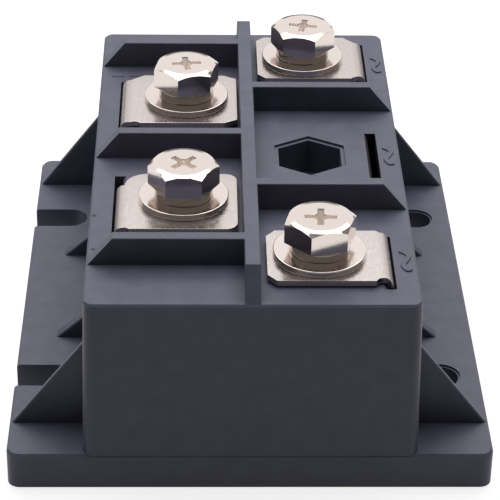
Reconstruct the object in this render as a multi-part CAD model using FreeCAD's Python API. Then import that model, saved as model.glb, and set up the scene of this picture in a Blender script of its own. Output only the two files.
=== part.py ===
import FreeCAD, Part
import math
import os
from FreeCAD import Vector

# Bridge rectifier module, in millimetres.
# X runs across the module, Y along it towards the far end, Z up.
# The origin is under the middle of the module, on the face that it is bolted down to.

# Housing, one moulding: a flange with a tall hollow body on it
flange_width = 76.4
flange_length = 95.0
flange_height = 6.2
flange_corner = 2.0
flange_edge = 0.4
body_width = 52.8
body_height = 33.5
body_corner = 1.6
body_edge = 0.3
draft = math.radians(1.3)
side_wall = 2.6
deck_thickness = 3.0
inner_corner = 1.0

# Walls on the deck, which keep the terminals apart
wall_height = 4.7
wall_thickness = 2.4
rib_thickness = 2.1
rib_past_middle = 0.15
end_slope = 3.9
wall_edge = 0.2

# Webs between the flange and the body
web_thickness = 1.0
web_height = 15.1
web_inset = 9.2
stub_thickness = 2.1
stub_length = 5.7
stub_height = 5.2
stub_to_hole = 12.3
web_rim = 0.2

# Fixing holes: round ones at the right, slots open to the edge at the left
fixing_inset = 22.0
hole_diameter = 5.8
hole_off_middle = 0.5
hole_rim_diameter = 6.5
hole_rim_depth = 0.35
slot_width = 6.0
slot_to_body = 2.3
collar_wall = 1.2

# Base plate, let into the underside
plate_thickness = 3.0
plate_proud = 0.2
skirt = 2.0
plate_gap = 0.15
plate_corner = 1.0

# Screw stations: two at the left, three at the right, the middle one at the right unused.
# The share is how far out a screw stands, on the way from where its washer would touch the
# centre wall to the leg slots.
station_share = 0.1513
last_station_inset = 13.7

# Hexagon nuts and the wells in the deck that stop them turning
nut_flats = 10.0
nut_height = 5.0
nut_clearance = 0.5
nut_bevels = [(4.7, math.radians(30))]
well_rim_flats = 11.8
well_rim_depth = 0.4
well_hex_depth = 6.4
well_tip_diameter = 7.4
well_depth = 10.4
well_floor = 1.2
well_wall = 1.2

# Terminal strip, bent over from a slot in the deck
strip_thickness = 1.0
bend_radius = 0.4
leg_slot_to_wall = 1.04
leg_outer_gap = 0.35
leg_clearance = 0.08
slot_lead_in = 0.45
screw_hole = 6.6
foot_to_chip = 0.75

# Screws and their washers
screw_diameter = 6.0
thread_clearance = 0.05
screw_length = 12.0
head_flats = 10.0
head_height = 4.2
head_face_diameter = 9.4
head_face_height = 0.35
head_bevels = [(4.25, math.radians(12)), (5.0, math.radians(35))]
flat_washer_diameter = 14.5
flat_washer_thickness = 1.1
washer_bore = 6.4
lock_washer_diameter = 9.4
lock_washer_thickness = 1.4
lock_split = 0.7
lock_split_slant = math.radians(30)
recess_span = 5.0
recess_arm = 1.05
recess_depth = 2.2
recess_foot_span = 2.0
recess_foot_arm = 0.6
recess_core = 2.1
recess_foot_core = 0.8

# Circuit inside: ceramic tiles with copper pads, silicon chips and links
tile_thickness = 0.65
tile_margin = 0.6
tile_gap = 1.4
pad_thickness = 0.3
pad_margin = 1.2
chip_size = 9.0
chip_thickness = 0.4
chip_x = 9.0
outer_chip_inset = 11.5
inner_chip_y = 8.0
link_width = 5.0
link_thickness = 0.5
link_foot = 3.0
outer_link_rise = 2.5
low_link_rise = 3.5
high_link_rise = 6.5
gel_top = 16.0
gel_skin = 0.05

# Heights that follow from the sizes above
seat = plate_proud
flange_top = seat + flange_height
deck = seat + body_height
ceiling = deck - deck_thickness
plate_top = plate_thickness
tile_top = plate_top + tile_thickness
pad_top = tile_top + pad_thickness
chip_top = pad_top + chip_thickness
well_bottom = deck - well_depth - well_floor


def body_half_width(z):
    return body_width / 2 - (z - seat) * math.tan(draft)


def body_half_length(z):
    return flange_length / 2 - (z - seat) * math.tan(draft)


# Places that follow: the holes from the flange and the body, the legs from the body's side wall,
# and the stations and ribs from the flange's ends
fixing_x = (flange_width + body_width) / 4 - hole_off_middle
fixing_y = flange_length / 2 - fixing_inset
slot_x = -body_width / 2 - slot_to_body - slot_width / 2
stub_reach = body_width / 2 + stub_length
stub_place = fixing_y - stub_to_hole
web_place = flange_length / 2 - web_inset
leg_slot_outer = body_half_width(deck) - side_wall - leg_slot_to_wall
leg_outer = leg_slot_outer - leg_outer_gap
leg_inner = leg_outer - strip_thickness
leg_slot_inner = leg_inner - leg_clearance
bend_outer = bend_radius + strip_thickness
foot_end = chip_x + chip_size / 2 + foot_to_chip
washer_at_wall = (wall_thickness + flat_washer_diameter) / 2
station_x = washer_at_wall + station_share * (leg_slot_outer - washer_at_wall)
station_pitch = (flange_length / 2 - last_station_inset) / 2
rib_pitch = station_pitch + rib_past_middle
outer_chip_y = flange_length / 2 - outer_chip_inset
split_reach = lock_washer_diameter

# The four terminals. Each one is cut and screwed down a little differently.
# side is 1 at the right and -1 at the left. near and far are the edges of its flat end, along Y
# from its station, and so are the leg and slot ranges.
# notch is its place in from the leg's outside, its depth and its radius.
# lift is how far the flat end springs up off the deck, spring how far its lock washer stays open.
# off is how far the screw sits from the middle of its well, within the nut's play.
terminals = {
    "ac_front": dict(side=1, station=-2, near=-7.8, far=7.1, inner=2.3, clip=(1.45, 1.7),
                     leg=(-8.1, 6.5), slot=(-8.3, 7.2), shoulder=0.6, rounded=False,
                     notch=(1.65, 0.9, 1.1), lift=0.2, spring=0.0, off=(0, 0), hexagon=13.8, recess=-3.0),
    "ac_rear": dict(side=1, station=2, near=-7.7, far=8.9, inner=2.3, clip=(1.45, 1.5),
                    leg=(-6.8, 6.8), slot=(-7.0, 8.5), shoulder=1.9, rounded=False,
                    notch=(1.6, 0.7, 1.1), lift=0.3, spring=0.0, off=(0, 0), hexagon=50.1, recess=-11.0),
    "dc_negative": dict(side=-1, station=-1, near=-9.4, far=8.3, inner=1.95, clip=(2.0, 2.0),
                        leg=(-9.1, 4.5), slot=(-9.3, 9.5), shoulder=3.8, rounded=True,
                        notch=(1.75, 0.4, 0.55), lift=0.2, spring=0.0, off=(-0.1, 0.1), hexagon=0.1, recess=45.0),
    "dc_positive": dict(side=-1, station=1, near=-8.8, far=9.2, inner=1.5, clip=(2.35, 1.3),
                        leg=(-8.5, 7.3), slot=(-8.7, 9.9), shoulder=2.4, rounded=False,
                        notch=(2.5, 0.5, 1.1), lift=0.8, spring=0.2, off=(0.15, 0.15), hexagon=15.8, recess=7.0),
}
unused_slot = (-7.75, 7.75)


def plate_outline(width, length, corner, z):
    """A rectangle with rounded corners, centred on the origin, as a closed wire."""
    x, y, r = width / 2, length / 2, corner
    k = r * (1 - math.sqrt(0.5))
    start = Vector(-x + r, -y, z)
    corners = [
        (Vector(x - r, -y, z), Vector(x - k, -y + k, z), Vector(x, -y + r, z)),
        (Vector(x, y - r, z), Vector(x - k, y - k, z), Vector(x - r, y, z)),
        (Vector(-x + r, y, z), Vector(-x + k, y - k, z), Vector(-x, y - r, z)),
        (Vector(-x, -y + r, z), Vector(-x + k, -y + k, z), start),
    ]
    edges = []
    at = start
    for before, middle, after in corners:
        edges.append(Part.LineSegment(at, before).toShape())
        edges.append(Part.Arc(before, middle, after).toShape())
        at = after
    return Part.Wire(edges)


def rounded_block(width, length, corner, bottom, top):
    face = Part.Face(plate_outline(width, length, corner, bottom))
    return face.extrude(Vector(0, 0, top - bottom))


def box_between(low, high):
    size = [b - a for a, b in zip(low, high)]
    return Part.makeBox(size[0], size[1], size[2], Vector(*low))


def prism(points, direction):
    """Extrudes the closed outline through the given points."""
    wire = Part.makePolygon([Vector(*p) for p in points] + [Vector(*points[0])])
    return Part.Face(wire).extrude(Vector(*direction))


def hexagon_prism(x, y, flats, bottom, top, turn=0.0):
    """A hexagon with its flats facing X before it is turned, in degrees."""
    radius = flats / math.sqrt(3)
    points = []
    for k in range(6):
        angle = math.radians(30 + 60 * k + turn)
        points.append((x + radius * math.cos(angle), y + radius * math.sin(angle), bottom))
    return prism(points, (0, 0, top - bottom))


def cylinder(x, y, diameter, bottom, top):
    return Part.makeCylinder(diameter / 2, top - bottom, Vector(x, y, bottom))


def edges_where(shape, test):
    return [edge for edge in shape.Edges if test(edge.BoundBox)]


def level(box, z):
    """True for an edge that lies flat at height z."""
    return abs(box.ZMin - z) < 1e-4 and abs(box.ZMax - z) < 1e-4


def station_y(step):
    return step * station_pitch


def screw_place(t):
    """Where a terminal's screw stands, as X and Y."""
    return t["side"] * station_x + t["off"][0], station_y(t["station"]) + t["off"][1]


def tapered_block(inset, corner, bottom, top):
    """The body's tapered form between two heights, shrunk all round by inset."""
    x0, x1 = body_half_width(bottom) - inset, body_half_width(top) - inset
    y0, y1 = body_half_length(bottom) - inset, body_half_length(top) - inset
    across = prism([(-x0, -y0, bottom), (x0, -y0, bottom), (x1, -y0, top), (-x1, -y0, top)], (0, 2 * y0, 0))
    along = prism([(-x0, -y0, bottom), (-x0, y0, bottom), (-x0, y1, top), (-x0, -y1, top)], (2 * x0, 0, 0))
    block = across.common(along)
    upright = edges_where(block, lambda b: b.ZMax - b.ZMin > (top - bottom) / 2)
    return block.makeFillet(corner, upright)


# Housing
def wall_outline(reach, foot, z_foot, z_top):
    """Half-lengths of a wall that slopes down at both ends, as (along, z) points."""
    return [(-foot, z_foot), (-foot, deck), (-reach, z_top), (reach, z_top), (foot, deck), (foot, z_foot)]


def centre_wall():
    foot = body_half_length(deck) - body_edge
    top = deck + wall_height
    outline = wall_outline(foot - end_slope, foot, deck - 1.0, top)
    points = [(-wall_thickness / 2, y, z) for y, z in outline]
    wall = prism(points, (wall_thickness, 0, 0))
    return wall.makeFillet(wall_edge, edges_where(wall, lambda b: level(b, top)))


def rib(side, step):
    """A cross wall from the centre wall out to one side of the deck."""
    foot = body_half_width(deck) - body_edge
    top = deck + wall_height
    y = step * rib_pitch - rib_thickness / 2
    outline = [(0, deck - 1.0), (0, top), (foot - end_slope, top), (foot, deck), (foot, deck - 1.0)]
    points = [(side * x, y, z) for x, z in outline]
    wall = prism(points, (0, rib_thickness, 0))

    def top_edge(b):
        return level(b, top) and b.XMax - b.XMin > end_slope

    return wall.makeFillet(wall_edge, edges_where(wall, top_edge))


def web(side, y, thickness, reach, height, rim):
    """A triangle that stands on the flange and leans against the body."""
    foot = reach
    inside = body_half_width(deck) - 1.0
    slope = height / (reach - body_half_width(flange_top))
    peak = flange_top + slope * (reach - inside)
    outline = [(inside, flange_top - 1.0), (foot, flange_top - 1.0), (foot, flange_top), (inside, peak)]
    points = [(side * x, y - thickness / 2, z) for x, z in outline]
    shape = prism(points, (0, thickness, 0))

    def sloping(b):
        return b.ZMax > peak - 1e-4 and b.ZMin > flange_top - 1e-4 and b.YMax - b.YMin < 1e-4

    return shape.makeChamfer(rim, edges_where(shape, sloping))


def nut_well_boss(x, y):
    """The post under the deck that holds a nut well."""
    diameter = 2 * well_rim_flats / math.sqrt(3) + 2 * well_wall
    return cylinder(x, y, diameter, well_bottom, ceiling)


def nut_well(x, y):
    rim = hexagon_prism(x, y, well_rim_flats, deck - well_rim_depth, deck + 1.0)
    hexagon = hexagon_prism(x, y, nut_flats + nut_clearance, deck - well_hex_depth, deck)
    tip = cylinder(x, y, well_tip_diameter, deck - well_depth, deck)
    return rim.fuse([hexagon, tip])


def leg_slot(side, y, span):
    """The slit in the deck for a terminal's leg, with a sloped edge for the bend."""
    start, end = span
    outline = [
        (leg_slot_inner, well_bottom - 1.0),
        (leg_slot_outer, well_bottom - 1.0),
        (leg_slot_outer, deck + 1.0),
        (leg_slot_inner - slot_lead_in, deck + 1.0),
        (leg_slot_inner - slot_lead_in, deck),
        (leg_slot_inner, deck - slot_lead_in),
    ]
    return prism([(side * x, y + start, z) for x, z in outline], (0, end - start, 0))


def open_slot(x, y, width, bottom, top):
    """A slot with a round inner end at x that runs out past the flange's edge."""
    ends = sorted((x, math.copysign(flange_width, x)))
    run = box_between((ends[0], y - width / 2, bottom), (ends[1], y + width / 2, top))
    return cylinder(x, y, width, bottom, top).fuse(run)


def collars(grow, bottom, top):
    """The plastic that surrounds each fixing hole or slot, out to the flange's edge."""
    shapes = []
    for y in (-fixing_y, fixing_y):
        shapes.append(open_slot(fixing_x, y, hole_diameter + 2 * grow, bottom, top))
        shapes.append(open_slot(slot_x, y, slot_width + 2 * grow, bottom, top))
    return shapes


def build_housing():
    flange = rounded_block(flange_width, flange_length, flange_corner, seat, flange_top)

    def flange_rim(b):
        return level(b, flange_top)

    flange = flange.makeChamfer(flange_edge, edges_where(flange, flange_rim))
    body = tapered_block(0.0, body_corner, seat, deck)
    body = body.makeChamfer(body_edge, edges_where(body, lambda b: level(b, deck)))
    added = [body, centre_wall()]
    for side, steps in ((-1, (-2, 0, 2)), (1, (-1, 1))):
        added += [rib(side, step) for step in steps]
        for end in (-1, 1):
            reach = flange_width / 2 - flange_edge
            added.append(web(side, end * web_place, web_thickness, reach, web_height, web_rim))
            added.append(web(side, end * stub_place, stub_thickness, stub_reach, stub_height, web_rim))
    housing = flange.fuse(added)

    # The hollow inside, with the nut wells left hanging under the deck
    recess_width = flange_width - 2 * skirt
    recess_length = flange_length - 2 * skirt
    recess = rounded_block(recess_width, recess_length, plate_corner, seat - 1.0, plate_top)
    recess = recess.cut(collars(collar_wall, seat - 1.0, plate_top))
    hollow = tapered_block(side_wall, inner_corner, plate_top - 1.0, ceiling)
    wells = [(-station_x, station_y(-1)), (-station_x, station_y(1))]
    wells += [(station_x, station_y(k)) for k in (-2, 0, 2)]
    hollow = hollow.cut([nut_well_boss(x, y) for x, y in wells])
    cuts = [recess, hollow]
    cuts += [nut_well(x, y) for x, y in wells]
    cuts += [leg_slot(t["side"], station_y(t["station"]), t["slot"]) for t in terminals.values()]
    cuts.append(leg_slot(1, station_y(0), unused_slot))
    for y in (-fixing_y, fixing_y):
        cuts.append(cylinder(fixing_x, y, hole_diameter, 0, flange_top + 1.0))
        cuts.append(cylinder(fixing_x, y, hole_rim_diameter, flange_top - hole_rim_depth, flange_top + 1.0))
        cuts.append(open_slot(slot_x, y, slot_width, 0, flange_top + 1.0))
    return housing.cut(cuts).removeSplitter()


# Base plate
def build_base_plate():
    width = flange_width - 2 * (skirt + plate_gap)
    length = flange_length - 2 * (skirt + plate_gap)
    plate = rounded_block(width, length, plate_corner, 0, plate_thickness)
    return plate.cut(collars(collar_wall + plate_gap, -1, plate_top + 1))


# Terminals
def strip_profile(inner_end, lift):
    """Section of a terminal at the right: flat end, bend, leg, bend and foot, in the XZ plane."""
    top = deck + lift + strip_thickness
    under = deck + lift
    foot_under = pad_top
    foot_top = pad_top + strip_thickness
    r, big = bend_radius, bend_outer
    k = 1 - math.sqrt(0.5)

    def at(x, z):
        return Vector(x, 0, z)

    steps = [
        ("line", at(leg_outer - big, top)),
        ("arc", at(leg_outer - big * k, top - big * k), at(leg_outer, top - big)),
        ("line", at(leg_outer, foot_under + big)),
        ("arc", at(leg_outer - big * k, foot_under + big * k), at(leg_outer - big, foot_under)),
        ("line", at(foot_end, foot_under)),
        ("line", at(foot_end, foot_top)),
        ("line", at(leg_inner - r, foot_top)),
        ("arc", at(leg_inner - r * k, foot_top + r * k), at(leg_inner, foot_top + r)),
        ("line", at(leg_inner, under - r)),
        ("arc", at(leg_inner - r * k, under - r * k), at(leg_inner - r, under)),
        ("line", at(inner_end, under)),
        ("line", at(inner_end, top)),
    ]
    edges = []
    point = at(inner_end, top)
    for step in steps:
        if step[0] == "line":
            edges.append(Part.LineSegment(point, step[1]).toShape())
        else:
            edges.append(Part.Arc(point, step[1], step[2]).toShape())
        point = step[-1]
    return Part.Wire(edges)


def strip_plan(t):
    """Outline of a terminal at the right, seen from above, around a station at Y 0."""
    near, far = t["near"], t["far"]
    leg_near, leg_far = t["leg"]
    inner = t["inner"]
    clip_x, clip_y = t["clip"]
    bend_start = leg_inner - bend_radius
    notch_x = leg_outer - t["notch"][0]
    past = leg_outer + 1.0
    # Each corner: its place, then how much is cut from it towards the corner before and the one after
    corners = [
        (inner, near, clip_y, clip_x),
        (notch_x, near, 0, 0),
        (notch_x, leg_near, 0, 0),
        (past, leg_near, 0, 0),
        (past, leg_far, 0, 0),
        (bend_start, far, far - leg_far, t["shoulder"]),
        (inner, far, clip_x, clip_y),
    ]
    edges = []
    last = Vector(inner, far - clip_y, 0)
    for k, (x, y, before, after) in enumerate(corners):
        corner = Vector(x, y, 0)
        back = Vector(*corners[k - 1][:2], 0)
        ahead = Vector(*corners[(k + 1) % len(corners)][:2], 0)
        if y == far and x == bend_start:
            back = Vector(bend_start, leg_far, 0)
        start = corner + (back - corner).normalize() * before
        end = corner + (ahead - corner).normalize() * after
        if last.distanceToPoint(start) > 1e-6:
            edges.append(Part.LineSegment(last, start).toShape())
        if before and t["rounded"]:
            middle = corner + (start + end - corner * 2) * (1 - math.sqrt(0.5))
            edges.append(Part.Arc(start, middle, end).toShape())
        elif before:
            edges.append(Part.LineSegment(start, end).toShape())
        last = end
    return Part.Wire(edges)


def build_terminal(t):
    low = min(t["near"], t["leg"][0])
    high = max(t["far"], t["leg"][1])
    profile = Part.Face(strip_profile(t["inner"], t["lift"]))
    profile.translate(Vector(0, low, 0))
    strip = profile.extrude(Vector(0, high - low, 0))
    plan = Part.Face(strip_plan(t)).extrude(Vector(0, 0, 2 * deck))
    strip = strip.common(plan)
    notch_in, notch_depth, notch_radius = t["notch"]
    notch_y = t["near"] - notch_radius + notch_depth
    strip = strip.cut(cylinder(leg_outer - notch_in, notch_y, 2 * notch_radius, deck - 1, 2 * deck))
    if t["side"] < 0:
        strip = strip.mirror(Vector(0, 0, 0), Vector(1, 0, 0))
    strip.translate(Vector(0, station_y(t["station"]), 0))
    return strip.cut(cylinder(*screw_place(t), screw_hole, deck - 1, 2 * deck))


# Screws, washers and nuts
def turned_hexagon(flats, height, turn, bevels):
    """A hexagon prism with its upper corners turned off. Each bevel is an inner radius and a slope."""
    body = hexagon_prism(0, 0, flats, 0, height, turn)
    radii = [radius for radius, slope in bevels] + [flats]
    outline = [(0, 0, -1), (0, 0, height)]
    z = height
    for (radius, slope), reach in zip(bevels, radii[1:]):
        outline.append((radius, 0, z))
        z -= (reach - radius) * math.tan(slope)
    outline += [(flats, 0, z), (flats, 0, -1)]
    wire = Part.makePolygon([Vector(*p) for p in outline] + [Vector(*outline[0])])
    return body.common(Part.Face(wire).revolve(Vector(0, 0, 0), Vector(0, 0, 1), 360))


def trapezoid(half_top, half_foot, foot, top):
    """An upright trapezoid as (across, z) points."""
    return [(-half_foot, foot), (half_foot, foot), (half_top, top), (-half_top, top)]


def cross_recess(top, turn):
    """The tapered cross-shaped hole for a screwdriver."""
    foot = top - recess_depth
    along = trapezoid(recess_span / 2, recess_foot_span / 2, foot, top)
    across = trapezoid(recess_arm / 2, recess_foot_arm / 2, foot, top)
    long_side = prism([(x, -recess_arm, z) for x, z in along], (0, 2 * recess_arm, 0))
    short_side = prism([(-recess_span, y, z) for y, z in across], (2 * recess_span, 0, 0))
    arm = long_side.common(short_side)
    other_arm = arm.copy()
    other_arm.rotate(Vector(0, 0, 0), Vector(0, 0, 1), 90)
    core = Part.makeCone(recess_foot_core / 2, recess_core / 2, recess_depth, Vector(0, 0, foot))
    shape = arm.fuse([other_arm, core])
    shape.rotate(Vector(0, 0, 0), Vector(0, 0, 1), turn)
    return shape


def build_screw(t):
    """A hexagon-headed screw with a cross recess, built with its head's seat at height 0."""
    head = turned_hexagon(head_flats, head_height, t["hexagon"] - 30, head_bevels)
    head = head.cut(box_between((-head_flats, -head_flats, -1), (head_flats, head_flats, head_face_height)))
    face = cylinder(0, 0, head_face_diameter, 0, head_face_height)
    shank = cylinder(0, 0, screw_diameter, -screw_length, 0)
    screw = head.fuse([face, shank]).removeSplitter()
    return screw.cut(cross_recess(head_height, t["recess"]))


def build_flat_washer():
    ring = cylinder(0, 0, flat_washer_diameter, 0, flat_washer_thickness)
    return ring.cut(cylinder(0, 0, washer_bore, -1, flat_washer_thickness + 1))


def build_lock_washer(t):
    """A spring washer: a ring cut through on a slant."""
    thickness = lock_washer_thickness + t["spring"]
    ring = cylinder(0, 0, lock_washer_diameter, 0, thickness)
    ring = ring.cut(cylinder(0, 0, washer_bore, -1, thickness + 1))
    lean = thickness * math.tan(lock_split_slant)
    z0, z1 = -1.0, thickness + 1.0
    outline = [(-lean, 0, z0), (-lean + lock_split, 0, z0), (lean + lock_split, 0, z1), (lean, 0, z1)]
    split = prism(outline, (0, split_reach, 0))
    split.rotate(Vector(0, 0, 0), Vector(0, 0, 1), t["hexagon"])
    return ring.cut(split)


def build_nut():
    """A hexagon nut with its lower corners turned off, hanging below height 0."""
    nut = turned_hexagon(nut_flats, nut_height, 0, nut_bevels)
    bore = cylinder(0, 0, screw_diameter + 2 * thread_clearance, -1, nut_height + 1)
    return nut.cut(bore).mirror(Vector(0, 0, 0), Vector(0, 0, 1))


# Circuit inside
def pad_range(t):
    """The rectangle of copper under a terminal's foot."""
    half_width = body_half_width(deck) - side_wall - tile_margin - pad_margin
    half_length = body_half_length(deck) - side_wall - tile_margin - pad_margin
    inner_x = tile_gap + pad_margin
    inner_y = tile_gap / 2 + pad_margin
    x = sorted((t["side"] * inner_x, t["side"] * half_width))
    end = 1 if t["station"] > 0 else -1
    y = sorted((end * inner_y, end * half_length))
    return x, y


def build_pad(t):
    x, y = pad_range(t)
    return box_between((x[0], y[0], tile_top), (x[1], y[1], pad_top))


def build_tile(end):
    half_width = body_half_width(deck) - side_wall - tile_margin
    half_length = body_half_length(deck) - side_wall - tile_margin
    y = sorted((end * tile_gap / 2, end * half_length))
    return box_between((-half_width, y[0], plate_top), (half_width, y[1], tile_top))


def build_chip(x, y):
    half = chip_size / 2
    return box_between((x - half, y - half, pad_top), (x + half, y + half, chip_top))


def build_link(chip, pad, rise):
    """A bent strip from the top of a chip at one end to a pad at the other."""
    start, end = Vector(chip[0], chip[1], 0), Vector(pad[0], pad[1], 0)
    length = start.distanceToPoint(end)
    top = chip_top + rise
    t = link_thickness
    a, b = -link_foot / 2, length + link_foot / 2
    outline = [
        (a, chip_top), (a + link_foot, chip_top), (a + link_foot, top - t),
        (b - link_foot, top - t), (b - link_foot, pad_top), (b, pad_top),
        (b, pad_top + t), (b - link_foot + t, pad_top + t), (b - link_foot + t, top),
        (a + link_foot - t, top), (a + link_foot - t, chip_top + t), (a, chip_top + t),
    ]
    strip = prism([(u, -link_width / 2, z) for u, z in outline], (0, link_width, 0))
    heading = math.degrees(math.atan2(end.y - start.y, end.x - start.x))
    strip.rotate(Vector(0, 0, 0), Vector(0, 0, 1), heading)
    strip.translate(start)
    return strip


def build_gel(pieces):
    """The soft filling that covers the circuit, up to its own level."""
    block = tapered_block(side_wall + gel_skin, inner_corner, plate_top, gel_top)
    return block.cut(pieces)


def placed(shape, t, z):
    shape.translate(Vector(*screw_place(t), z))
    return shape


nodes = {}
nodes["housing"] = build_housing()
nodes["base_plate"] = build_base_plate()
nodes["ceramic_tile_front"] = build_tile(-1)
nodes["ceramic_tile_rear"] = build_tile(1)
for name, t in terminals.items():
    nodes["terminal_" + name] = build_terminal(t)
    nodes["pad_" + name] = build_pad(t)
    tab = deck + t["lift"]
    nodes["nut_" + name] = placed(build_nut(), t, tab)
    nodes["flat_washer_" + name] = placed(build_flat_washer(), t, tab + strip_thickness)
    lock_seat = tab + strip_thickness + flat_washer_thickness
    head_seat = lock_seat + lock_washer_thickness + t["spring"]
    nodes["lock_washer_" + name] = placed(build_lock_washer(t), t, lock_seat)
    nodes["screw_" + name] = placed(build_screw(t), t, head_seat)

# Two diodes sit on the positive pad and one on each of the two pads for alternating current.
# Each link runs from the top of its chip to the pad that feeds it.
diodes = [
    ("ac_front_to_positive", (-chip_x, inner_chip_y), (chip_x, -inner_chip_y), low_link_rise),
    ("ac_rear_to_positive", (-chip_x, outer_chip_y), (chip_x, outer_chip_y), outer_link_rise),
    ("negative_to_ac_front", (chip_x, -outer_chip_y), (-chip_x, -outer_chip_y), outer_link_rise),
    ("negative_to_ac_rear", (chip_x, inner_chip_y), (-chip_x, -inner_chip_y), high_link_rise),
]
for name, chip, pad, rise in diodes:
    nodes["diode_chip_" + name] = build_chip(*chip)
    nodes["link_" + name] = build_link(chip, pad, rise)

buried = ("ceramic_tile", "terminal", "pad", "diode_chip", "link")
nodes["silicone_gel"] = build_gel([shape for name, shape in nodes.items() if name.startswith(buried)])

os.makedirs("parts", exist_ok=True)
for name, shape in nodes.items():
    if len(shape.Solids) != 1 or not shape.isValid():
        raise RuntimeError(name + " is not one sound solid")
    shape.Solids[0].exportStep("parts/" + name + ".step")
    box = shape.BoundBox
    print(f"{name:36s} {shape.Volume:10.2f} mm3  {box.XMin:7.2f} {box.XMax:7.2f}  {box.YMin:7.2f} {box.YMax:7.2f}"
          f"  {box.ZMin:6.2f} {box.ZMax:6.2f}")
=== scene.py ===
import math

import bpy
from mathutils import Euler, Matrix, Vector


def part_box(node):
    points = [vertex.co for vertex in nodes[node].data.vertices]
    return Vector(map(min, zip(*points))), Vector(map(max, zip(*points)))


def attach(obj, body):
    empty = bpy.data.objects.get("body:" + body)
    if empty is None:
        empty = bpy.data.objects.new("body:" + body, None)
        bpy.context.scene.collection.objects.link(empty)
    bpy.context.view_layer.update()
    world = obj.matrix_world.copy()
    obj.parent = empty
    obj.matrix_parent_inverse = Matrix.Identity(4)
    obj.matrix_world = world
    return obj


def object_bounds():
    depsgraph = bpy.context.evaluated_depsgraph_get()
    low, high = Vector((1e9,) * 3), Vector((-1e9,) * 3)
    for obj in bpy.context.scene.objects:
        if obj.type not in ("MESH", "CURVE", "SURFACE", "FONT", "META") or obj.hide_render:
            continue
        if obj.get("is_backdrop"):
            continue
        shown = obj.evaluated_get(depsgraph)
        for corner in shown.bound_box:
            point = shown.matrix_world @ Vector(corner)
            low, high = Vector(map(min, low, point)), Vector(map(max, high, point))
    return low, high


# The looks of the bridge rectifier module, in the frame of its solids:
# X across the module, Y along it towards the far end, Z up.
# Lengths are in millimetres, and in metres for the lights and the floor.

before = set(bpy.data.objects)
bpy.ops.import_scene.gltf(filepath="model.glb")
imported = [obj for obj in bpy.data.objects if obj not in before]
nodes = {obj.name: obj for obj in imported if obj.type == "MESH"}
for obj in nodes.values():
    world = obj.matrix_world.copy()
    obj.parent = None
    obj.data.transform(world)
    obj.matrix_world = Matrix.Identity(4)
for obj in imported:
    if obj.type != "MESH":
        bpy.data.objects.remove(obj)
low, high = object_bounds()

MM = 0.001

# The deck lies below the housing's top by the height of its walls
WALL_HEIGHT = 4.7
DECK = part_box("housing")[1].z / MM - WALL_HEIGHT

# Colours as red, green, blue and alpha
DARK_PLASTIC = (0.091, 0.092, 0.134, 1)
LIGHT_PLASTIC = (0.113, 0.114, 0.164, 1)
# The dark of the specks, and the painted shade for the lead-in of the empty leg slot
SPECK_AND_PAINTED_SHADE = (0.012, 0.009, 0.018, 1)
SHEET = (0.53, 0.475, 0.455, 1)
# Painted shade for the bent outer ends of the strips
PAINTED_BEND_SHADE = (0.36, 0.31, 0.29, 1)
BRIGHT = (0.69, 0.615, 0.573, 1)
# A painted light tone for the inside of the screw heads' recesses
PAINTED_RECESS_LIGHT = (0.95, 0.86, 0.79, 1)
SPRING = (0.50, 0.43, 0.385, 1)
COPPER = (0.72, 0.36, 0.24, 1)
CERAMIC = (0.85, 0.84, 0.80, 1)
SILICON = (0.10, 0.10, 0.12, 1)
GEL = (0.80, 0.83, 0.85, 1)
PAPER = (0.38, 0.38, 0.38, 1)
WHITE = (1, 1, 1, 1)

# Dark specks in the deck's left edge, and the radii between which each fades out
SPECKS = ((-24.9, -20.2, DECK), (-24.7, -30.6, DECK))
SPECK_FADE = (0.34, 0.42)

# The lead-in of the leg slot that holds no terminal, where shade is painted, as (low, high)
# along X, Y and Z, and the share of its half width where the painted shade's soft rim starts
EMPTY_SLOT_PAINTED_SHADE = ((20.1, 22.05), (-7.8, 7.8), (26.0, DECK - 0.01))
SLOT_RIM = 0.999

# Where the strips turn from flat to bent, by their distance from the centre plane, over which shade is
# painted onto the bend
BEND_START = (19.6, 21.6)

# The pressed recess of a head, where a paler painted light tone goes, by the distance from its axis
# and the depth below its top, and how much like metal the painted tone looks
RECESS_REACH = (2.6, 2.7)
RECESS_DEPTH = (0.1, 0.25)
RECESS_METALLIC = 0.2

# The range that most of a noise lies in, and the roughness that it gives: for the plastic
# from smoothest to roughest, for nickel as shares and for the rest as a step either way
NOISE_RANGE = (0.3, 0.7)
PLASTIC_ROUGHNESS = (0.42, 0.54)
NICKEL_SHARES = (0.85, 1.2)
PLAIN_STEP = 0.04

# Soft edges: how near corners are joined, and the angles in degrees within which faces
# count as one flat and from which an edge counts as sharp
JOIN_WITHIN = 0.001
FLAT_WITHIN = 0.5
SHARP_FROM = 40

# The signs on the deck: the middle line of the wave and the steps between two of its
# points, how far the arms of the plus reach, how far a sign's root lies in the deck, and
# its soft rim as shares of its height
WAVE = ((-0.5, 3.05), (-0.05, 2.75), (0.4, 2.15), (0.55, 1.55), (0.15, 0.5), (-0.35, -0.45),
        (-0.45, -1.1), (-0.2, -1.85), (0.15, -2.4), (0.5, -2.25))
WAVE_STEPS = 4
WAVE_PLACES = {"rear": (23.9, 33.6), "middle": (23.7, -0.6), "front": (23.9, -34.3)}
PLUS_PLACE = (-21.1, 29.5)
PLUS_REACH = (2.3, 2.05)
MARK_ROOT = 0.05
RIM_START = 0.6
RIM_INSET = 0.3

# The floor's own glow for the camera and for mirrored rays, and the world's level for
# scattered rays and for mirrored ones
FLOOR_SIZE = 12.0
FLOOR_GLOW = 0.8
WORLD_LEVELS = (0.04, 0.25)

# The camera as fitted to the photo's straight edges: its place and its turns in degrees
CAMERA_PLACE = (-8.502, -321.294, 210.534)
CAMERA_TURNS = (58.6853, -0.8352, -1.1331)


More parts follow.
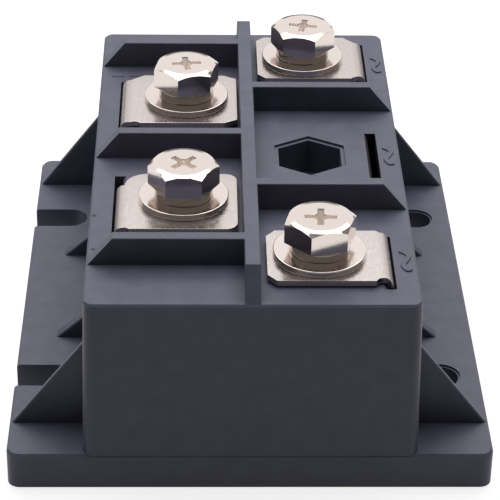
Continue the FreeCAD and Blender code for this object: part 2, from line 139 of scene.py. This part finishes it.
# Node helpers
def feed(tree, value, socket):
    """Links the output of another node to a socket, or sets the socket to a constant."""
    if isinstance(value, bpy.types.NodeSocket):
        tree.links.new(value, socket)
    else:
        socket.default_value = value


def calculate(tree, operation, *values):
    """A calculation with values that are constants or outputs of other nodes."""
    node = tree.nodes.new("ShaderNodeMath")
    node.operation = operation
    for value, socket in zip(values, node.inputs):
        feed(tree, value, socket)
    return node.outputs[0]


def measure(tree, operation, *vectors):
    """The length of a vector, or the distance between two."""
    node = tree.nodes.new("ShaderNodeVectorMath")
    node.operation = operation
    for vector, socket in zip(vectors, node.inputs):
        feed(tree, vector, socket)
    return node.outputs["Value"]


def remap(tree, value, old, new):
    """Takes a value from the old range to the new one, and holds it at both ends."""
    node = tree.nodes.new("ShaderNodeMapRange")
    for name, end in zip(("From Min", "From Max", "To Min", "To Max"), (*old, *new)):
        node.inputs[name].default_value = end
    tree.links.new(value, node.inputs["Value"])
    return node.outputs["Result"]


def object_place(tree, scale=(1, 1, 1), shift=(0, 0, 0)):
    """The place on the object in metres, stretched by scale and then shifted."""
    source = tree.nodes.new("ShaderNodeTexCoord")
    mapping = tree.nodes.new("ShaderNodeMapping")
    mapping.inputs["Scale"].default_value = scale
    mapping.inputs["Location"].default_value = shift
    tree.links.new(source.outputs["Object"], mapping.inputs["Vector"])
    return mapping.outputs[0]


def split(tree, vector):
    """The X, Y and Z of a vector."""
    parts = tree.nodes.new("ShaderNodeSeparateXYZ")
    tree.links.new(vector, parts.inputs[0])
    return parts.outputs


def noise(tree, scale, detail, stretch=(1, 1, 1)):
    """A noise with about as many waves in a millimetre as scale times stretch says."""
    node = tree.nodes.new("ShaderNodeTexNoise")
    node.inputs["Scale"].default_value = scale
    node.inputs["Detail"].default_value = detail
    tree.links.new(object_place(tree, [s / MM for s in stretch]), node.inputs["Vector"])
    return node.outputs["Fac"]


def mix_colours(tree, factor, one, two):
    """Goes from one colour to the other as the factor goes from 0 to 1."""
    node = tree.nodes.new("ShaderNodeMix")
    node.data_type = "RGBA"
    first, second = [socket for socket in node.inputs if socket.type == "RGBA"]
    feed(tree, one, first)
    feed(tree, two, second)
    tree.links.new(factor, node.inputs["Factor"])
    return next(socket for socket in node.outputs if socket.type == "RGBA")


def bump(tree, shader, pattern, strength, height):
    """Roughens a surface by a pattern, with its height in millimetres."""
    node = tree.nodes.new("ShaderNodeBump")
    node.inputs["Strength"].default_value = strength
    node.inputs["Distance"].default_value = height * MM
    tree.links.new(pattern, node.inputs["Height"])
    tree.links.new(node.outputs[0], shader.inputs["Normal"])


def near_point(tree, centre, fade):
    """1 near a point and 0 away from it, with a fade between two radii."""
    away = measure(tree, "DISTANCE", object_place(tree), [c * MM for c in centre])
    return remap(tree, away, [radius * MM for radius in fade], (1, 0))


def in_box(tree, box):
    """1 inside a box given as (low, high) along X, Y and Z, and 0 outside it."""
    place = split(tree, object_place(tree))
    inside = None
    for axis, (start, end) in zip("XYZ", box):
        off = remap(tree, place[axis], (start * MM, end * MM), (-1, 1))
        step = remap(tree, calculate(tree, "ABSOLUTE", off), (SLOT_RIM, 1), (1, 0))
        inside = step if inside is None else calculate(tree, "MULTIPLY", inside, step)
    return inside


# Materials
def empty_material(name):
    """A material, its nodes, and the socket that takes its shader."""
    material = bpy.data.materials.new(name)
    material.use_nodes = True
    tree = material.node_tree
    tree.nodes.clear()
    output = tree.nodes.new("ShaderNodeOutputMaterial")
    return material, tree, output.inputs["Surface"]


def shaded_material(name):
    """A material, its nodes and its shader."""
    material, tree, surface = empty_material(name)
    shader = tree.nodes.new("ShaderNodeBsdfPrincipled")
    tree.links.new(shader.outputs[0], surface)
    return material, tree, shader


def plastic():
    """Dark blue-grey filled plastic with a fine moulded grain and two dark specks, with painted shade
    inside the lead-in of the empty leg slot.
    """
    material, tree, shader = shaded_material("housing_plastic")
    grain = noise(tree, scale=3.5, detail=3)
    cloud = noise(tree, scale=0.3, detail=6)
    tone = remap(tree, cloud, NOISE_RANGE, (0, 1))
    colour = mix_colours(tree, tone, DARK_PLASTIC, LIGHT_PLASTIC)
    for speck in SPECKS:
        colour = mix_colours(tree, near_point(tree, speck, SPECK_FADE), colour, SPECK_AND_PAINTED_SHADE)
    # Painted shade inside the lead-in of the leg slot that holds no terminal
    colour = mix_colours(tree, in_box(tree, EMPTY_SLOT_PAINTED_SHADE), colour, SPECK_AND_PAINTED_SHADE)
    tree.links.new(colour, shader.inputs["Base Color"])
    rough = remap(tree, grain, NOISE_RANGE, PLASTIC_ROUGHNESS)
    tree.links.new(rough, shader.inputs["Roughness"])
    shader.inputs["Specular IOR Level"].default_value = 0.35
    bump(tree, shader, grain, strength=0.35, height=0.05)
    return material


def nickel(name, colour, roughness, streak, stretch=(2, 2, 2)):
    """Nickel plate with faint marks: streak sets how much they show."""
    material, tree, shader = shaded_material(name)
    shader.inputs["Metallic"].default_value = 1.0
    shader.inputs["Base Color"].default_value = colour
    marks = noise(tree, scale=1, detail=3, stretch=stretch)
    rough = remap(tree, marks, NOISE_RANGE, [share * roughness for share in NICKEL_SHARES])
    tree.links.new(rough, shader.inputs["Roughness"])
    bump(tree, shader, marks, strength=streak, height=0.01)
    return material, tree, shader


def terminal_nickel():
    """Rolled sheet with nickel on it, with painted shade where it is bent over at its outer end."""
    material, tree, shader = nickel("terminal_nickel", SHEET, roughness=0.24, streak=0.012,
                                    stretch=(2, 0.8, 2))
    out = calculate(tree, "ABSOLUTE", split(tree, object_place(tree))["X"])
    bent = remap(tree, out, [distance * MM for distance in BEND_START], (0, 1))
    # Painted shade on the bend, standing in for how its curve turns away from the light
    tree.links.new(mix_colours(tree, bent, SHEET, PAINTED_BEND_SHADE), shader.inputs["Base Color"])
    return material


def screw_nickel(name, box):
    """Bright nickel, with a painted light tone inside the pressed recess of the head: paler and less
    like metal there.
    """
    material, tree, shader = nickel(name + "_nickel", BRIGHT, roughness=0.1, streak=0.02)
    middle = (box[0] + box[1]) / 2
    place = split(tree, object_place(tree, shift=(-middle.x, -middle.y, -box[1].z)))
    flat = tree.nodes.new("ShaderNodeCombineXYZ")
    tree.links.new(place["X"], flat.inputs["X"])
    tree.links.new(place["Y"], flat.inputs["Y"])
    reach = measure(tree, "LENGTH", flat.outputs[0])
    near = remap(tree, reach, [distance * MM for distance in RECESS_REACH], (1, 0))
    deep = remap(tree, place["Z"], [-depth * MM for depth in RECESS_DEPTH], (0, 1))
    inside = calculate(tree, "MULTIPLY", near, deep)
    # Painted light tone inside the recess: less like metal and paler
    metallic = remap(tree, inside, (0, 1), (1, RECESS_METALLIC))
    tree.links.new(metallic, shader.inputs["Metallic"])
    tree.links.new(mix_colours(tree, inside, BRIGHT, PAINTED_RECESS_LIGHT), shader.inputs["Base Color"])
    return material


def plain(name, colour, roughness, metallic=0.0, transmission=0.0):
    """One colour, with a roughness that varies a little from place to place."""
    material, tree, shader = shaded_material(name)
    spots = noise(tree, scale=1.5, detail=2)
    shader.inputs["Base Color"].default_value = colour
    shader.inputs["Metallic"].default_value = metallic
    shader.inputs["Transmission Weight"].default_value = transmission
    rough = remap(tree, spots, NOISE_RANGE, (roughness - PLAIN_STEP, roughness + PLAIN_STEP))
    tree.links.new(rough, shader.inputs["Roughness"])
    return material


housing_plastic = plastic()
materials = {
    "housing": housing_plastic,
    "base_plate": nickel("base_plate_nickel", SHEET, roughness=0.3, streak=0.2, stretch=(0.3, 8, 8))[0],
    "terminal": terminal_nickel(),
    "flat_washer": nickel("flat_washer_nickel", BRIGHT, roughness=0.16, streak=0.02)[0],
    "lock_washer": nickel("lock_washer_nickel", SPRING, roughness=0.14, streak=0.03)[0],
    "nut": nickel("nut_nickel", BRIGHT, roughness=0.2, streak=0.1)[0],
    "pad": plain("pad_copper", COPPER, roughness=0.35, metallic=1.0),
    "link": plain("link_copper", COPPER, roughness=0.35, metallic=1.0),
    "ceramic_tile": plain("tile_ceramic", CERAMIC, roughness=0.6),
    "diode_chip": plain("chip_silicon", SILICON, roughness=0.2),
    "silicone_gel": plain("gel", GEL, roughness=0.1, transmission=0.6),
}
for name in nodes:
    if name.startswith("screw"):
        materials[name] = screw_nickel(name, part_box(name))


# Soft edges
def joined_faces(crease):
    """A step that joins the faces of a piece, with a sharp edge where they meet at more
    than the crease angle in degrees."""
    group = bpy.data.node_groups.new("joined_faces", "GeometryNodeTree")
    for way in ("INPUT", "OUTPUT"):
        group.interface.new_socket("Geometry", in_out=way, socket_type="NodeSocketGeometry")
    source = group.nodes.new("NodeGroupInput")
    plain_normals = group.nodes.new("GeometryNodeRemoveAttribute")
    plain_normals.inputs["Name"].default_value = "custom_normal"
    merge = group.nodes.new("GeometryNodeMergeByDistance")
    merge.inputs["Distance"].default_value = JOIN_WITHIN * MM
    smooth = group.nodes.new("GeometryNodeSetShadeSmooth")
    sharp = group.nodes.new("GeometryNodeSetShadeSmooth")
    sharp.domain = "EDGE"
    sharp.inputs["Shade Smooth"].default_value = False
    angle = group.nodes.new("GeometryNodeInputMeshEdgeAngle")
    steep = group.nodes.new("FunctionNodeCompare")
    steep.operation = "GREATER_THAN"
    steep.inputs["B"].default_value = math.radians(crease)
    group.links.new(angle.outputs["Unsigned Angle"], steep.inputs["A"])
    group.links.new(steep.outputs["Result"], sharp.inputs["Selection"])
    last = source
    for node in (plain_normals, merge, smooth, sharp, group.nodes.new("NodeGroupOutput")):
        group.links.new(last.outputs[0], node.inputs[0])
        last = node
    return group


def soften(piece, joined, width, segments):
    """Rounds the sharp edges of a piece, as tumbling and plating leave them."""
    join = piece.modifiers.new("joined_faces", "NODES")
    join.node_group = joined
    flat = piece.modifiers.new("whole_flats", "DECIMATE")
    flat.decimate_type = "DISSOLVE"
    flat.angle_limit = math.radians(FLAT_WITHIN)
    bevel = piece.modifiers.new("soft_edges", "BEVEL")
    bevel.width = width * MM
    bevel.segments = segments
    bevel.limit_method = "ANGLE"
    bevel.angle_limit = math.radians(SHARP_FROM)
    bevel.harden_normals = True


round_metal = joined_faces(crease=10)
bent_metal = joined_faces(crease=25)

# How the faces of a kind are joined, and the width and segments of its soft edges
soft_edges = {
    "flat_washer": (round_metal, 0.16, 3),
    "lock_washer": (round_metal, 0.4, 4),
    "screw": (round_metal, 0.08, 2),
    "terminal": (bent_metal, 0.12, 2),
}
for name, piece in nodes.items():
    kind = max((k for k in materials if name.startswith(k)), key=len)
    piece.data.materials.clear()
    piece.data.materials.append(materials[kind])
    for start, edges in soft_edges.items():
        if name.startswith(start):
            soften(piece, *edges)


# Marks moulded on the deck
def curve_through(points, steps):
    """A smooth curve through the points, as more points."""
    ends = [points[0] * 2 - points[1]] + points + [points[-1] * 2 - points[-2]]
    path = []
    for a, b, c, d in zip(ends, ends[1:], ends[2:], ends[3:]):
        slope = c - a
        square = 2 * a - 5 * b + 4 * c - d
        cube = 3 * b - a - 3 * c + d
        for k in range(steps):
            t = k / steps
            path.append(0.5 * (2 * b + slope * t + square * t**2 + cube * t**3))
    return path + [points[-1]]


def stroke_outline(path, half):
    """The closed outline of a stroke with round ends, all round its path."""
    sides = [[], []]
    for k, point in enumerate(path):
        along = (path[min(k + 1, len(path) - 1)] - path[max(k - 1, 0)]).normalized()
        across = Vector((-along.y, along.x))
        sides[0].append(point + across * half)
        sides[1].append(point - across * half)
    caps = []
    for end, before in ((path[-1], path[-2]), (path[0], path[1])):
        ahead = math.atan2(end.y - before.y, end.x - before.x)
        turns = [ahead + math.radians(a) for a in (60, 30, 0, -30, -60)]
        caps.append([end + half * Vector((math.cos(turn), math.sin(turn))) for turn in turns])
    return sides[0] + caps[0] + sides[1][::-1] + caps[1]


def wave_outline(half):
    """The closed outline of the wave sign for alternating current."""
    path = curve_through([Vector(point) for point in WAVE], WAVE_STEPS)
    return stroke_outline(path, half)


def plus_outline(half):
    """The closed outline of a plus sign, with a stroke along X and one along Y."""
    x, y = (reach + half for reach in PLUS_REACH)
    corners = ((half, half), (x, half), (x, -half), (half, -half), (half, -y), (-half, -y),
               (-half, -half), (-x, -half), (-x, half), (-half, half), (-half, y), (half, y))
    return [Vector(corner) for corner in corners]


def raised_mark(name, place, outline, width, height):
    """A mark that stands a little proud of the deck, with steep sides and a soft rim.

    The outline is a function of half the width of the strokes, and runs clockwise seen
    from above.
    """
    half = width / 2
    rings = ((half, -MARK_ROOT), (half, RIM_START * height), (half - RIM_INSET * height, height))
    vertices, faces = [], []
    for reach, z in rings:
        points = outline(reach)
        for p in points:
            vertices.append(Vector((place[0] + p.x, place[1] + p.y, DECK + z)) * MM)
    count = len(points)
    for start in range(0, len(vertices) - count, count):
        for k in range(count):
            n = (k + 1) % count
            faces.append((start + k, start + count + k, start + count + n, start + n))
    faces.append(range(count))
    faces.append(range(len(vertices) - 1, len(vertices) - 1 - count, -1))
    mesh = bpy.data.meshes.new(name)
    mesh.from_pydata(vertices, [], faces)
    mesh.materials.append(housing_plastic)
    mark = bpy.data.objects.new(name, mesh)
    bpy.context.collection.objects.link(mark)
    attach(mark, "root")


for label, place in WAVE_PLACES.items():
    raised_mark("wave_mark_" + label, place, wave_outline, width=0.8, height=0.22)
raised_mark("plus_mark", PLUS_PLACE, plus_outline, width=0.9, height=0.1)


# Floor, light and camera
def mirrored(tree, path):
    """1 for a ray that was mirrored or went through something clear."""
    return calculate(tree, "MAXIMUM", path["Is Glossy Ray"], path["Is Transmission Ray"])


def floor_paper():
    """White paper that holds the module's soft shadow and is full white away from it."""
    material, tree, surface = empty_material("floor_white")
    paper = tree.nodes.new("ShaderNodeBsdfDiffuse")
    paper.inputs["Color"].default_value = PAPER
    path = tree.nodes.new("ShaderNodeLightPath").outputs
    seen = calculate(tree, "MAXIMUM", path["Is Camera Ray"], mirrored(tree, path))
    glow = tree.nodes.new("ShaderNodeEmission")
    tree.links.new(calculate(tree, "MULTIPLY", seen, FLOOR_GLOW), glow.inputs["Strength"])
    both = tree.nodes.new("ShaderNodeAddShader")
    tree.links.new(paper.outputs[0], both.inputs[0])
    tree.links.new(glow.outputs[0], both.inputs[1])
    tree.links.new(both.outputs[0], surface)
    return material


def floor_under(z):
    """A wide square floor at the height z in metres."""
    mesh = bpy.data.meshes.new("floor")
    half = FLOOR_SIZE / 2
    corners = [(-half, -half, z), (half, -half, z), (half, half, z), (-half, half, z)]
    mesh.from_pydata(corners, [], [(0, 1, 2, 3)])
    mesh.materials.append(floor_paper())
    plane = bpy.data.objects.new("floor", mesh)
    bpy.context.collection.objects.link(plane)
    plane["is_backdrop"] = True


def area_light(name, place, target, width, height, power):
    """A soft light that faces its target, in metres and watts."""
    lamp = bpy.data.lights.new(name, "AREA")
    lamp.shape = "RECTANGLE"
    lamp.size = width
    lamp.size_y = height
    lamp.energy = power
    holder = bpy.data.objects.new(name, lamp)
    bpy.context.collection.objects.link(holder)
    holder.location = place
    direction = Vector(target) - Vector(place)
    holder.rotation_mode = "QUATERNION"
    holder.rotation_quaternion = direction.to_track_quat("-Z", "Y")


def studio_world():
    """White for the camera, and dimmer for the rays that light the module."""
    world = bpy.data.worlds.new("studio")
    world.use_nodes = True
    tree = world.node_tree
    background = tree.nodes["Background"]
    background.inputs["Color"].default_value = WHITE
    path = tree.nodes.new("ShaderNodeLightPath").outputs
    level = remap(tree, mirrored(tree, path), (0, 1), WORLD_LEVELS)
    brightest = calculate(tree, "MAXIMUM", level, path["Is Camera Ray"])
    tree.links.new(brightest, background.inputs["Strength"])
    return world


def photo_camera():
    """The camera at the photo's place and angle."""
    camera_data = bpy.data.cameras.new("camera")
    camera_data.sensor_width = 36
    camera_data.lens = 156.9
    camera_data.clip_start = 0.01
    camera_data.clip_end = 20
    camera = bpy.data.objects.new("camera", camera_data)
    bpy.context.collection.objects.link(camera)
    turns = Euler([math.radians(turn) for turn in CAMERA_TURNS])
    camera.matrix_world = Matrix.LocRotScale(Vector(CAMERA_PLACE) * MM, turns, None)
    return camera


floor_under(low.z)
area_light("light_top", (0, 0.36, 0.85), (0, 0.2, 0.03), width=1.3, height=0.96, power=10.4)
area_light("light_back", (0, 1.05, 0.65), (0, 0, 0.03), width=2.0, height=0.9, power=5.0)
bpy.context.scene.world = studio_world()
bpy.context.scene.camera = photo_camera()
bpy.context.scene.view_settings.view_transform = "Standard"

low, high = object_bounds()
